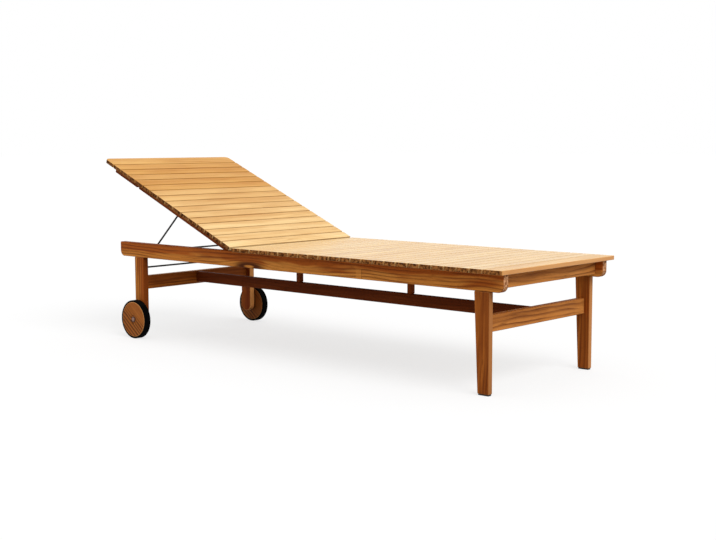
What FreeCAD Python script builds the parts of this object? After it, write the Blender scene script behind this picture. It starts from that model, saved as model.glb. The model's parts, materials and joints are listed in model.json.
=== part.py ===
"""A slatted wooden sun lounger: reclining back, wire prop on notched racks, two wheels at the head end.

Millimetres, +Z up, +X towards the foot end, +Y to the left of someone lying on it.
The pieces are laid out with the foot end of the side rails at X = 0, and moved to the origin at the end.
"""
import FreeCAD
import Part
import math
import os
from FreeCAD import Vector

# Deck: slats and end boards
deck_height = 392.0
slat_thickness = 14.0
slat_width = 44.5
slat_gap = 4.0
slat_overhang = 28.0
slat_edge_ease = 1.2
foot_board_width = 70.0
foot_board_overhang = 13.0
top_board_width = 58.0
foot_board_corner_radius = 5.0
top_board_corner_radius = 18.0

# Side rails
frame_width = 596.0
rail_length = 1872.0
rail_height = 57.0
rail_thickness = 25.0
rail_end_radius = 22.0

# Legs and glides
foot_leg_thickness = 20.0
foot_leg_setback = 52.0
foot_leg_top_width = 58.0
foot_leg_bottom_width = 43.0
head_leg_width = 54.0
head_leg_thickness = 25.0
axle_from_head_end = 117.0
glide_thickness = 4.0
glide_margin = 2.5

# Stretchers, posts, bearer and cross rails
cross_stretcher_height = 53.0
cross_stretcher_thickness = 26.0
cross_stretcher_floor_gap = 192.0
cross_stretcher_setback = 20.0
centre_stretcher_height = 42.0
centre_stretcher_thickness = 20.0
centre_stretcher_drop = 2.5
post_width = 20.0
post_thickness = 20.0
foot_post_from_foot_end = 604.0
bearer_height = 30.0
bearer_width = 25.0
apron_setback = 29.0
apron_height = 48.0
apron_thickness = 22.0
hinge_cross_rail_height = 45.0
hinge_cross_rail_thickness = 20.0
hinge_cross_rail_from_pivot = 25.0
wood_edge_ease = 2.0

# Back and its hinge
hinge_from_foot_end = 1188.0
seat_edge_from_pivot = 9.5
back_edge_from_pivot = 15.5
back_panel_length = 799.0
back_rail_height = 46.0
back_rail_thickness = 20.0
back_rail_gap = 11.0
back_rail_end_setback = 2.0
back_batten_height = 24.0
back_batten_width = 25.0
back_batten_inset = 30.0
recline_at_rest = 23.16
hinge_pin_radius = 4.0
hinge_pin_depth = 16.0
hinge_spacer_radius = 9.0
hinge_spacer_sides = 6

# Prop, racks and tie rod
wire_radius = 3.5
prop_pivot_from_hinge = 405.0
prop_length = 251.2
prop_slope_at_rest = 43.21
prop_turns_per_back_turn = 2.65
prop_arm_gap = 0.5
prop_pin_depth = 15.0
prop_bend_reach = 6.0
prop_bend_turn = 45.0
bar_nest_clearance = 2.5
rack_running_gap = 2.0
rack_clearance = 1.2
rack_end_margin = 8.0
rack_path_points = 9
notch_step = 5.0
notches_below_rest = 3
notches_above_rest = 2
notch_depth = 2.6
tie_rod_height = 278.5
tie_rod_depth = 12.0

# Wheels
wheel_radius = 76.0
tyre_thickness = 7.0
wheel_width = 27.0
wheel_gap = 6.5
tyre_inset = 0.5
hub_recess_radius = 17.0
hub_recess_depth = 2.0
axle_radius = 6.0
bush_radius = 10.0
axle_head_radius = 11.0
axle_head_height = 4.0
axle_depth_in_leg = 18.0

# Fits
running_clearance = 0.05
seat_clearance = 0.3
same_place = 1e-6

# Places worked out from the sizes above
slat_bottom = deck_height - slat_thickness
rail_bottom = slat_bottom - rail_height
rail_outer = frame_width / 2.0
rail_inner = rail_outer - rail_thickness
foot_leg_inner = rail_outer - foot_leg_thickness
head_leg_inner = rail_outer - head_leg_thickness
slat_half = rail_outer + slat_overhang
hinge_x = -hinge_from_foot_end
back_base = slat_bottom + seat_clearance
hinge_z = back_base - back_rail_height / 2.0
pivot = Vector(hinge_x, 0.0, hinge_z)
seat_head_edge = hinge_x + seat_edge_from_pivot
back_low_edge = hinge_x - back_edge_from_pivot
back_top_edge = back_low_edge - back_panel_length
back_rail_outer = rail_inner - back_rail_gap
back_rail_inner = back_rail_outer - back_rail_thickness
prop_pivot_x = hinge_x - prop_pivot_from_hinge
prop_bend_shoulder = wire_radius * math.tan(math.radians(prop_bend_turn / 2.0))
prop_arm_y = back_rail_inner - prop_arm_gap - prop_bend_shoulder - prop_bend_reach
axle_x = -(rail_length - axle_from_head_end)
axle_inner = rail_outer - axle_depth_in_leg
cross_stretcher_top = cross_stretcher_floor_gap + cross_stretcher_height
centre_stretcher_top = cross_stretcher_top - centre_stretcher_drop
bearer_bottom = slat_bottom - bearer_height
hinge_rail_head = hinge_x + hinge_cross_rail_from_pivot
hinge_rail_foot = hinge_rail_head + hinge_cross_rail_thickness
hinge_rail_bottom = slat_bottom - hinge_cross_rail_height
apron_back = -apron_setback - apron_thickness

across = Vector(0.0, 1.0, 0.0)
along = Vector(1.0, 0.0, 0.0)
upright = Vector(0.0, 0.0, 1.0)
sides = (("left", 1.0), ("right", -1.0))
full_turn = 360.0
parts = {}

# Corner style of a wire carried along straight runs
mitred = 1


def block(x_range, y_range, z_range):
    """A box between two limits on each axis, given in either order."""
    low = Vector(min(x_range), min(y_range), min(z_range))
    high = Vector(max(x_range), max(y_range), max(z_range))
    size = high.sub(low)
    return Part.makeBox(size.x, size.y, size.z, low)


def edges_along(shape, direction):
    """The straight edges of a shape that run in one direction."""
    found = []
    for edge in shape.Edges:
        if len(edge.Vertexes) == 2 and isinstance(edge.Curve, Part.Line):
            run = edge.Vertexes[1].Point.sub(edge.Vertexes[0].Point).normalize()
            if abs(abs(run.dot(direction)) - 1.0) < same_place:
                found.append(edge)
    return found


def faces_towards(shape, direction):
    """The flat faces of a shape that look one way."""
    flat = [face for face in shape.Faces if isinstance(face.Surface, Part.Plane)]
    return [face for face in flat if face.normalAt(0, 0).dot(direction) > 1.0 - same_place]


def board(x_range, y_range, z_range, direction, ease=wood_edge_ease):
    """A straight board with its long edges, which run with the grain, eased."""
    blank = block(x_range, y_range, z_range)
    return blank.makeChamfer(ease, edges_along(blank, direction))


def rod(start, end, radius):
    """A round bar between two points."""
    run = end.sub(start)
    return Part.makeCylinder(radius, run.Length, start, run)


def plate(points, thickness_from, thickness_to):
    """An outline in X and Z, closed by straight lines, carried across from one Y to another."""
    ring = [Vector(x, thickness_from, z) for x, z in points]
    face = Part.Face(Part.makePolygon(ring + ring[:1]))
    return face.extrude(across * (thickness_to - thickness_from))


def faceted_bar(x, z, radius, y_from, y_to):
    """A bar with flats about a point in X and Z, carried across from one Y to another."""
    turns = [math.tau * step / hinge_spacer_sides for step in range(hinge_spacer_sides)]
    points = [(x + radius * math.cos(turn), z + radius * math.sin(turn)) for turn in turns]
    return plate(points, y_from, y_to)


def on_back(shape):
    """A piece laid out with the back flat, lifted to the angle at which the back rests."""
    lifted = shape.copy()
    lifted.rotate(pivot, across, recline_at_rest)
    return lifted


def bar_place(recline):
    """Where the prop's bar is for a given angle of the back, as X and Z."""
    slope = prop_slope_at_rest + (prop_turns_per_back_turn - 1.0) * (recline - recline_at_rest)
    back_angle = math.radians(recline)
    prop_angle = math.radians(slope)
    x = hinge_x - prop_pivot_from_hinge * math.cos(back_angle) - prop_length * math.cos(prop_angle)
    z = hinge_z + prop_pivot_from_hinge * math.sin(back_angle) - prop_length * math.sin(prop_angle)
    return x, z


def rounded_board(x_inner, x_end, base, corner_radius):
    """A wide board across the deck, whose two corners at its free end are rounded in plan."""
    blank = block((x_inner, x_end), (-slat_half, slat_half), (base, base + slat_thickness))
    uprights = edges_along(blank, upright)
    corners = [edge for edge in uprights if abs(edge.Vertexes[0].X - x_end) < same_place]
    shaped = blank.makeFillet(corner_radius, corners)
    broad = faces_towards(shaped, upright) + faces_towards(shaped, -upright)
    return shaped.makeChamfer(slat_edge_ease, [edge for face in broad for edge in face.Edges])


def slat_row(first_edge, last_edge, base):
    """Slats laid across the deck from one edge to another, each followed by its gap."""
    room = abs(last_edge - first_edge)
    heading = math.copysign(1.0, last_edge - first_edge)
    count = round(room / (slat_width + slat_gap))
    pitch = room / count
    y_range = (-slat_half, slat_half)
    z_range = (base, base + slat_thickness)
    row = []
    for number in range(count):
        start = first_edge + heading * pitch * number
        end = start + heading * slat_width
        row.append(board((start, end), y_range, z_range, across, slat_edge_ease))
    return row


def make_side_rails():
    for side, sign in sides:
        y_range = (sign * rail_inner, sign * rail_outer)
        rail = block((-rail_length, 0.0), y_range, (rail_bottom, slat_bottom))
        ends = edges_along(rail, across)
        lower = [edge for edge in ends if edge.Vertexes[0].Z < rail_bottom + same_place]
        rail = rail.makeFillet(rail_end_radius, lower)
        outer = faces_towards(rail, across * sign)[0]
        rail = rail.makeChamfer(wood_edge_ease, outer.Edges)
        pin_start = Vector(hinge_x, sign * rail_inner, hinge_z)
        pin_end = Vector(hinge_x, sign * (rail_inner + hinge_pin_depth), hinge_z)
        hole = rod(pin_start, pin_end, hinge_pin_radius + running_clearance)
        parts["side_rail_" + side] = rail.cut(hole)


def make_foot_legs():
    front = -foot_leg_setback
    back_above = front - foot_leg_top_width
    back_below = front - foot_leg_bottom_width
    outline = [(front, glide_thickness), (front, rail_bottom),
               (back_above, rail_bottom), (back_below, glide_thickness)]
    glides = []
    for side, sign in sides:
        leg = plate(outline, sign * foot_leg_inner, sign * rail_outer)
        level = edges_along(leg, across) + edges_along(leg, along)
        uprights = [edge for edge in leg.Edges if not any(edge.isSame(other) for other in level)]
        parts["foot_leg_" + side] = leg.makeChamfer(wood_edge_ease, uprights)
        glide_x = (front - glide_margin, back_below + glide_margin)
        glide_y = (sign * (foot_leg_inner + glide_margin), sign * (rail_outer - glide_margin))
        glides.append(block(glide_x, glide_y, (0.0, glide_thickness)))
    parts["foot_glides"] = Part.makeCompound(glides)


def make_head_legs():
    half = head_leg_width / 2.0
    tie_reach = head_leg_inner + tie_rod_depth
    tie_start = Vector(axle_x, -tie_reach, tie_rod_height)
    tie_end = Vector(axle_x, tie_reach, tie_rod_height)
    tie_hole = rod(tie_start, tie_end, wire_radius + running_clearance)
    for side, sign in sides:
        y_range = (sign * head_leg_inner, sign * rail_outer)
        straight = block((axle_x - half, axle_x + half), y_range, (wheel_radius, rail_bottom))
        inner_centre, outer_centre = [Vector(axle_x, y, wheel_radius) for y in y_range]
        leg = straight.fuse(rod(inner_centre, outer_centre, half)).removeSplitter()
        outer = faces_towards(leg, across * sign)[0]
        leg = leg.makeChamfer(wood_edge_ease, outer.Edges)
        axle_floor = Vector(axle_x, sign * (axle_inner - seat_clearance), wheel_radius)
        axle_hole = rod(axle_floor, outer_centre, axle_radius + running_clearance)
        parts["head_leg_" + side] = leg.cut(tie_hole).cut(axle_hole)
    parts["leg_tie_rod"] = rod(tie_start, tie_end, wire_radius)


def make_stretchers():
    height = (cross_stretcher_floor_gap, cross_stretcher_top)
    foot_face = -foot_leg_setback - cross_stretcher_setback
    head_face = axle_x + head_leg_width / 2.0 - cross_stretcher_setback
    ends = (("foot", foot_face, foot_leg_inner), ("head", head_face, head_leg_inner))
    for end, face, reach in ends:
        x_range = (face - cross_stretcher_thickness, face)
        parts[end + "_cross_stretcher"] = board(x_range, (-reach, reach), height, across)
    half = centre_stretcher_thickness / 2.0
    x_range = (head_face, foot_face - cross_stretcher_thickness)
    z_range = (centre_stretcher_top - centre_stretcher_height, centre_stretcher_top)
    parts["centre_stretcher"] = board(x_range, (-half, half), z_range, along)


def make_posts_and_bearer():
    half_post = post_width / 2.0
    y_range = (-post_thickness / 2.0, post_thickness / 2.0)
    head_post_x = (hinge_rail_head + hinge_rail_foot) / 2.0
    posts = (("foot", -foot_post_from_foot_end, bearer_bottom), ("head", head_post_x, hinge_rail_bottom))
    for end, x, top in posts:
        x_range = (x - half_post, x + half_post)
        parts["stretcher_post_" + end] = board(x_range, y_range, (centre_stretcher_top, top), upright)
    half = bearer_width / 2.0
    x_range = (hinge_rail_foot, apron_back)
    parts["centre_bearer"] = board(x_range, (-half, half), (bearer_bottom, slat_bottom), along)


def make_cross_rails():
    y_range = (-rail_inner, rail_inner)
    apron_z = (slat_bottom - apron_height, slat_bottom)
    parts["foot_apron"] = board((apron_back, -apron_setback), y_range, apron_z, across)
    hinge_rail_x = (hinge_rail_head, hinge_rail_foot)
    hinge_rail_z = (hinge_rail_bottom, slat_bottom)
    parts["hinge_cross_rail"] = board(hinge_rail_x, y_range, hinge_rail_z, across)


def make_seat():
    board_edge = foot_board_overhang - foot_board_width
    foot_board = rounded_board(board_edge, foot_board_overhang, slat_bottom, foot_board_corner_radius)
    parts["foot_board"] = foot_board
    row = slat_row(seat_head_edge, board_edge, slat_bottom)
    for number, slat in enumerate(row, start=1):
        parts["seat_slat_%02d" % number] = slat


def make_hinge_pins():
    pins = []
    for side, sign in sides:
        def at(y):
            return Vector(hinge_x, sign * y, hinge_z)
        pin_start = at(back_rail_outer - hinge_pin_depth)
        pin = rod(pin_start, at(rail_inner + hinge_pin_depth), hinge_pin_radius)
        spacer_start = sign * (back_rail_outer + seat_clearance)
        spacer = faceted_bar(hinge_x, hinge_z, hinge_spacer_radius, spacer_start, sign * rail_inner)
        pins.append(pin.fuse(spacer).removeSplitter())
    parts["hinge_pins"] = Part.makeCompound(pins)


def make_back():
    board_edge = back_top_edge + top_board_width
    top_board = rounded_board(board_edge, back_top_edge, back_base, top_board_corner_radius)
    parts["back_top_board"] = on_back(top_board)
    parts["back_slats"] = on_back(Part.makeCompound(slat_row(back_low_edge, board_edge, back_base)))
    round_end = back_rail_height / 2.0
    rail_end = back_top_edge + back_rail_end_setback
    bar_x, bar_z = bar_place(0.0)
    nest_radius = wire_radius + bar_nest_clearance
    for side, sign in sides:
        y_range = (sign * back_rail_inner, sign * back_rail_outer)
        straight = block((hinge_x, rail_end), y_range, (back_base - back_rail_height, back_base))
        inner_centre, outer_centre = [Vector(hinge_x, y, hinge_z) for y in y_range]
        rail = straight.fuse(rod(inner_centre, outer_centre, round_end)).removeSplitter()
        pin_depth = hinge_pin_depth + seat_clearance
        pin_floor = Vector(hinge_x, sign * (back_rail_outer - pin_depth), hinge_z)
        pin_hole = rod(pin_floor, outer_centre, hinge_pin_radius + running_clearance)
        prop_depth = prop_pin_depth + seat_clearance
        prop_mouth = Vector(prop_pivot_x, sign * back_rail_inner, hinge_z)
        prop_floor = Vector(prop_pivot_x, sign * (back_rail_inner + prop_depth), hinge_z)
        prop_hole = rod(prop_mouth, prop_floor, wire_radius + running_clearance)
        # The prop's bar lies in this nest when the back is flat
        nest_top = rod(Vector(bar_x, y_range[0], bar_z), Vector(bar_x, y_range[1], bar_z), nest_radius)
        nest_x = (bar_x - nest_radius, bar_x + nest_radius)
        nest = nest_top.fuse(block(nest_x, y_range, (back_base - back_rail_height, bar_z)))
        parts["back_rail_" + side] = on_back(rail.cut([pin_hole, prop_hole, nest]))
    half = back_batten_width / 2.0
    batten_x = (back_low_edge - back_batten_inset, rail_end)
    batten_z = (back_base - back_batten_height, back_base)
    parts["back_centre_batten"] = on_back(board(batten_x, (-half, half), batten_z, along))


def make_prop():
    bar_x = prop_pivot_x - prop_length
    pivot_flat = Vector(prop_pivot_x, 0.0, hinge_z)
    bar_half = rail_inner - rack_running_gap
    bar_start = Vector(bar_x, -bar_half, hinge_z)
    bar_end = Vector(bar_x, bar_half, hinge_z)
    saddle = rod(bar_start, bar_end, wire_radius + running_clearance)
    pieces = {"prop_crossbar": rod(bar_start, bar_end, wire_radius)}
    for side, sign in sides:
        arm_y = sign * prop_arm_y
        corners = [Vector(prop_pivot_x, sign * (back_rail_inner + prop_pin_depth), hinge_z),
                   Vector(prop_pivot_x, arm_y + sign * prop_bend_reach, hinge_z),
                   Vector(prop_pivot_x - prop_bend_reach, arm_y, hinge_z),
                   Vector(bar_x, arm_y, hinge_z)]
        ring = Part.Wire(Part.makeCircle(wire_radius, corners[0], across))
        arm = Part.makePolygon(corners).makePipeShell([ring], True, False, mitred)
        pieces["prop_arm_" + side] = arm.cut(saddle)
    for name, piece in pieces.items():
        piece.rotate(pivot_flat, across, -prop_slope_at_rest - recline_at_rest)
        parts[name] = on_back(piece)


def make_racks():
    top_recline = recline_at_rest + notches_above_rest * notch_step
    below_bar = wire_radius + rack_clearance
    shares = [number / (rack_path_points - 1) for number in range(rack_path_points)]
    path = [bar_place(top_recline * share) for share in shares]
    path = [Vector(x, 0.0, z - below_bar) for x, z in path]
    flat_point = path[0]
    top_point = path[-1]
    head_end = flat_point.x - rack_end_margin
    foot_end = top_point.x + rack_end_margin
    ramp = Part.BSplineCurve()
    ramp.interpolate(path)
    outline = [ramp.toShape()]
    corners = [top_point, Vector(foot_end, 0.0, top_point.z), Vector(foot_end, 0.0, rail_bottom),
               Vector(head_end, 0.0, rail_bottom), Vector(head_end, 0.0, flat_point.z), flat_point]
    for start, end in zip(corners, corners[1:]):
        outline.append(Part.LineSegment(start, end).toShape())
    face = Part.Face(Part.Wire(outline))
    thickness = back_rail_gap - rack_running_gap
    for side, sign in sides:
        rack = face.extrude(across * (sign * thickness))
        rack.translate(across * (sign * (rail_inner - thickness)))
        for number in range(-notches_below_rest, notches_above_rest + 1):
            x, z = bar_place(recline_at_rest + number * notch_step)
            floor = z - rack_clearance - notch_depth
            notch_start = Vector(x, -rail_inner, floor)
            notch_end = Vector(x, rail_inner, floor)
            rack = rack.cut(rod(notch_start, notch_end, wire_radius + seat_clearance))
        parts["prop_rack_" + side] = rack


def turned(profile, y_inner, sign):
    """A ring or disc about the axle: radius and distance from the inner face, carried round."""
    ring = [Vector(axle_x, sign * (y_inner + depth), wheel_radius + radius) for radius, depth in profile]
    face = Part.Face(Part.makePolygon(ring + ring[:1]))
    return face.revolve(Vector(axle_x, 0.0, wheel_radius), across, full_turn)


def make_wheels():
    inner = rail_outer + wheel_gap
    disc_radius = wheel_radius - tyre_thickness
    bore = bush_radius + running_clearance
    recess_floor = wheel_width - hub_recess_depth
    disc_profile = [(bore, 0.0), (disc_radius, 0.0), (disc_radius, wheel_width),
                    (hub_recess_radius, wheel_width),
                    (hub_recess_radius - hub_recess_depth, recess_floor), (bore, recess_floor)]
    rim = disc_radius + running_clearance
    low = tyre_inset
    high = wheel_width - tyre_inset
    tyre_profile = [(rim, low), (wheel_radius, low), (wheel_radius, high), (rim, high)]
    for side, sign in sides:
        def at(y):
            return Vector(axle_x, sign * y, wheel_radius)
        parts["wheel_disc_" + side] = turned(disc_profile, inner, sign)
        parts["wheel_tyre_" + side] = turned(tyre_profile, inner, sign)
        hub_face = inner + recess_floor
        axle_bore = rod(at(rail_outer), at(hub_face), axle_radius + running_clearance)
        bush = rod(at(rail_outer + seat_clearance), at(hub_face), bush_radius)
        parts["wheel_bush_" + side] = bush.cut(axle_bore)
        head_start = hub_face + seat_clearance
        shank = rod(at(axle_inner), at(head_start), axle_radius)
        head = rod(at(head_start), at(head_start + axle_head_height), axle_head_radius)
        parts["wheel_axle_" + side] = shank.fuse(head).removeSplitter()


make_side_rails()
make_foot_legs()
make_head_legs()
make_stretchers()
make_posts_and_bearer()
make_cross_rails()
make_seat()
make_hinge_pins()
make_back()
make_prop()
make_racks()
make_wheels()

# The origin is on the ground, under the middle of the whole lounger
reach = [shape.optimalBoundingBox(False) for shape in parts.values()]
middle_x = (min(box.XMin for box in reach) + max(box.XMax for box in reach)) / 2.0
to_origin = Vector(-middle_x, 0.0, 0.0)

os.makedirs("parts", exist_ok=True)
for name, shape in parts.items():
    shape.translate(to_origin)
    shape.exportStep("parts/" + name + ".step")

prop_pin = on_back(Part.Vertex(prop_pivot_x, 0.0, hinge_z)).Point
axle = Vector(axle_x, 0.0, wheel_radius)
for label, place in (("back hinge", pivot), ("prop pivot", prop_pin), ("axle", axle)):
    print(label, [round(value, 3) for value in place.add(to_origin)])
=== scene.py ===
import bpy
import json
import math
import numpy as np
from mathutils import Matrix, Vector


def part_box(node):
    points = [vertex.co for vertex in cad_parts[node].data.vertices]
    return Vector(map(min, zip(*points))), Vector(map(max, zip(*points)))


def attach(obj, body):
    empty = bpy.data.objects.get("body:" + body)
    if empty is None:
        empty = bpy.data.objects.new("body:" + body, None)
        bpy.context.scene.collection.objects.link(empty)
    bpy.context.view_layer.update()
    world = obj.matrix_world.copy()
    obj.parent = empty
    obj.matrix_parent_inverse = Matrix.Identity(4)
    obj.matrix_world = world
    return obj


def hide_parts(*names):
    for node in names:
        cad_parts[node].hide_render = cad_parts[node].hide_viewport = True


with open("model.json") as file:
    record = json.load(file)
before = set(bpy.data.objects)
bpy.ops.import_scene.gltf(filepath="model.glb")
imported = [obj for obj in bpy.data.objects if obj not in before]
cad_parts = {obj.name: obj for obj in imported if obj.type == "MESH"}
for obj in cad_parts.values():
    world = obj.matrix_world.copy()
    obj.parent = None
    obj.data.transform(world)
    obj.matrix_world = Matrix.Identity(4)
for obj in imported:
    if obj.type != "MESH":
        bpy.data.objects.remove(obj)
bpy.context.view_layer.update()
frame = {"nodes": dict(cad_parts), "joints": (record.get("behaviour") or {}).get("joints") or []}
joints = {joint["name"]: joint for joint in frame["joints"]}
treeSeed = 23  # picks each board's place in its log, and the tones that are left to chance
dice = np.random.default_rng(treeSeed)

xAxis, yAxis, zAxis = np.eye(3)
lengthways, crossways, upright = range(3)  # the same axes by number
quarterTurn = math.pi / 2
mm = 1000  # millimetres in a metre
white = (1.0, 1.0, 1.0, 1)


# surfaces

flatStrip = 0.0004  # metres of flat beside each rounding, so that broad faces shade flat
rimSteps = 5  # points on the quarter circle round a board's rim
plainSteps = 5  # points on the arc of a plain corner
leastEnd = 0.6  # share of end grain from which a face is a sawn end
leastRim = 0.97  # share of a turned piece's radius from which its rim starts
tipGap = 0.02  # radians left at the tip of a wire, which a small flat face closes


def roundedOutline(corners, radii, inset, steps=plainSteps):
    # Each corner is an arc that touches both of its sides. An inset keeps the arc's centre and
    # shortens its radius (lengthens it in a hollow corner), so every side moves in by the same amount.
    corners = np.asarray(corners, float)
    leaving = np.roll(corners, -1, 0) - corners
    leaving = leaving / np.linalg.norm(leaving, axis=1)[:, None]
    arriving = np.roll(leaving, 1, 0)
    crossed = arriving[:, 0] * leaving[:, 1] - arriving[:, 1] * leaving[:, 0]
    turn = np.arctan2(crossed, (arriving * leaving).sum(1))
    bend = np.sign(turn)
    start = np.arctan2(arriving[:, 0], -arriving[:, 1])
    angle = start[:, None] + turn[:, None] * np.linspace(0, 1, steps)
    middle = start + turn / 2
    reach = bend * radii / np.cos(turn / 2)
    centre = corners + reach[:, None] * np.stack([np.cos(middle), np.sin(middle)], 1)
    inwards = np.stack([np.cos(angle), np.sin(angle)], 2)
    arc = centre[:, None] - (bend * radii - inset)[:, None, None] * inwards
    first = arc[:, :1] - flatStrip * arriving[:, None]
    last = arc[:, -1:] + flatStrip * leaving[:, None]
    points = np.concatenate([first, arc, last], 1).reshape(-1, 2)
    outwards = -np.concatenate([inwards[:, :1], inwards, inwards[:, -1:]], 1).reshape(-1, 2)
    return points, outwards


def gridQuads(rows, columns, rowsClose):
    # Four neighbours of a grid whose columns close into a ring, and whose rows may.
    row = np.arange(rows if rowsClose else rows - 1)[:, None]
    column = np.arange(columns)[None, :]
    nextRow = (row + 1) % rows
    nextColumn = (column + 1) % columns
    corners = [row * columns + column, row * columns + nextColumn,
               nextRow * columns + nextColumn, nextRow * columns + column]
    return np.stack(corners, 2).reshape(-1, 4)


def shareOf(values):
    # Nought at the least value, one at the greatest, evenly between.
    return (values - values.min()) / (values.max() - values.min())


def rectangle(low, high, right, up):
    # The corners of a box seen with one axis to the right and one upwards, against the clock.
    return [(low[right], low[up]), (high[right], low[up]), (high[right], high[up]), (low[right], high[up])]


def plateBoard(corners, radii, thickness, edge, origin, axes, grainTurn=0.0, arcSteps=plainSteps):
    # An outline carried from one broad face to the other. Round both rims it follows a quarter
    # circle: inset edge*(1 - sin a) at depth edge*(1 - cos a), for a from 0 to 90 degrees.
    # No corner is sharper than the rim, so a radius of nought gives the least one.
    radii = np.maximum(np.broadcast_to(radii, len(corners)), edge + 2 * flatStrip)
    a = np.linspace(0, quarterTurn, rimSteps)
    inset = np.concatenate([[edge + flatStrip], edge * (1 - np.sin(a)), [0.0]])
    depth = np.concatenate([[0.0], edge * (1 - np.cos(a)), [edge + flatStrip]])
    side = np.concatenate([[0.0], np.sin(a), [1.0]])
    inset = np.concatenate([inset, inset[::-1]])
    side = np.concatenate([side, side[::-1]])
    depth = np.concatenate([depth, (thickness - depth)[::-1]])
    rings = [roundedOutline(corners, radii, amount, arcSteps) for amount in inset]
    flat = np.stack([ring[0] for ring in rings])
    outwards = np.stack([ring[1] for ring in rings]) * side[:, None, None]
    ringCount, pointCount = flat.shape[:2]
    depths = np.broadcast_to(depth[:, None], (ringCount, pointCount))
    local = np.concatenate([flat, depths[:, :, None]], 2).reshape(-1, 3)
    grainWay = np.array([math.cos(grainTurn), math.sin(grainTurn)])
    acrossWay = np.array([-grainWay[1], grainWay[0]])
    grain = np.stack([local[:, :2] @ grainWay, local[:, :2] @ acrossWay, local[:, 2]], 1)
    endGrain = np.abs(outwards.reshape(-1, 2) @ grainWay)
    quads = gridQuads(ringCount, pointCount, False)
    isEnd = np.append(endGrain[quads].mean(1) > leastEnd, [False, False])
    faces = quads.tolist()
    faces.append(list(range(pointCount))[::-1])
    faces.append(list(range((ringCount - 1) * pointCount, ringCount * pointCount)))
    axes = np.asarray(axes, float)
    if np.linalg.det(axes) < 0:
        faces = [face[::-1] for face in faces]
    return {"points": np.asarray(origin, float) + local @ axes, "faces": faces, "grain": grain,
            "heart": shareOf(grain[:, 1]), "rim": np.repeat(side, pointCount),
            "endGrain": endGrain, "isEnd": isEnd}


def turnedRing(profile, radii, centre, sign, grainTurn=0.0, turns=96):
    # A closed profile of (radius, distance along the axle) carried round the axle by a full turn.
    points, _ = roundedOutline(profile, np.asarray(radii, float), 0.0)
    turn = np.linspace(0, 2 * np.pi, turns, endpoint=False)
    radius = np.broadcast_to(points[:, 0], (turns, len(points)))
    x = radius * np.cos(turn)[:, None]
    z = radius * np.sin(turn)[:, None]
    y = np.broadcast_to(sign * points[:, 1], radius.shape)
    local = np.stack([x, y, z], 2).reshape(-1, 3)
    along = local[:, 0] * math.cos(grainTurn) + local[:, 2] * math.sin(grainTurn)
    across = local[:, 2] * math.cos(grainTurn) - local[:, 0] * math.sin(grainTurn)
    faces = gridQuads(turns, len(points), True).tolist()
    if sign < 0:
        faces = [face[::-1] for face in faces]
    return {"points": local + np.asarray(centre, float), "faces": faces,
            "grain": np.stack([along, across, local[:, 1]], 1), "heart": shareOf(radius.ravel()),
            "rim": np.float32(radius.ravel() > leastRim * radius.max()), "endGrain": np.zeros(len(local))}


def wireTube(path, radius, flatWay, sides=20, capSteps=5):
    # A circle carried along a path that lies in one plane, closed by half-round ends: the end
    # circles shrink as radius*cos b while they move out by radius*sin b.
    path = np.asarray(path, float)
    forward = np.gradient(path, axis=0)
    forward = forward / np.linalg.norm(forward, axis=1)[:, None]
    b = np.linspace(quarterTurn - tipGap, 0, capSteps, endpoint=False)
    before = path[:1] - np.outer(radius * np.sin(b), forward[0])
    after = path[-1:] + np.outer(radius * np.sin(b[::-1]), forward[-1])
    spine = np.concatenate([before, path, after])
    heading = np.concatenate([np.repeat(forward[:1], capSteps, 0), forward,
                              np.repeat(forward[-1:], capSteps, 0)])
    size = radius * np.concatenate([np.cos(b), np.ones(len(path)), np.cos(b[::-1])])
    sideways = np.cross(np.asarray(flatWay, float), heading)
    turn = np.linspace(0, 2 * np.pi, sides, endpoint=False)
    ring = (np.cos(turn)[None, :, None] * sideways[:, None]
            + np.sin(turn)[None, :, None] * np.cross(heading, sideways)[:, None])
    points = (spine[:, None] + size[:, None, None] * ring).reshape(-1, 3)
    travelled = np.concatenate([[0.0], np.cumsum(np.linalg.norm(np.diff(spine, axis=0), axis=1))])
    grain = np.stack([np.repeat(travelled, sides), np.tile(radius * np.cos(turn), len(spine)),
                      np.tile(radius * np.sin(turn), len(spine))], 1)
    faces = gridQuads(len(spine), sides, False).tolist()
    faces.append(list(range(sides))[::-1])
    faces.append(list(range((len(spine) - 1) * sides, len(spine) * sides)))
    return {"points": points, "faces": faces, "grain": grain, "heart": np.zeros(len(points)),
            "rim": np.zeros(len(points)), "endGrain": np.zeros(len(points))}


logLook = {"low": (0.0, -0.045, 0.02), "high": (40.0, 0.045, 0.09),  # metres along, across and deep
           "noKnot": (50.0, 0.0, 50.0)}  # a clear board's knot is far away


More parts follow.
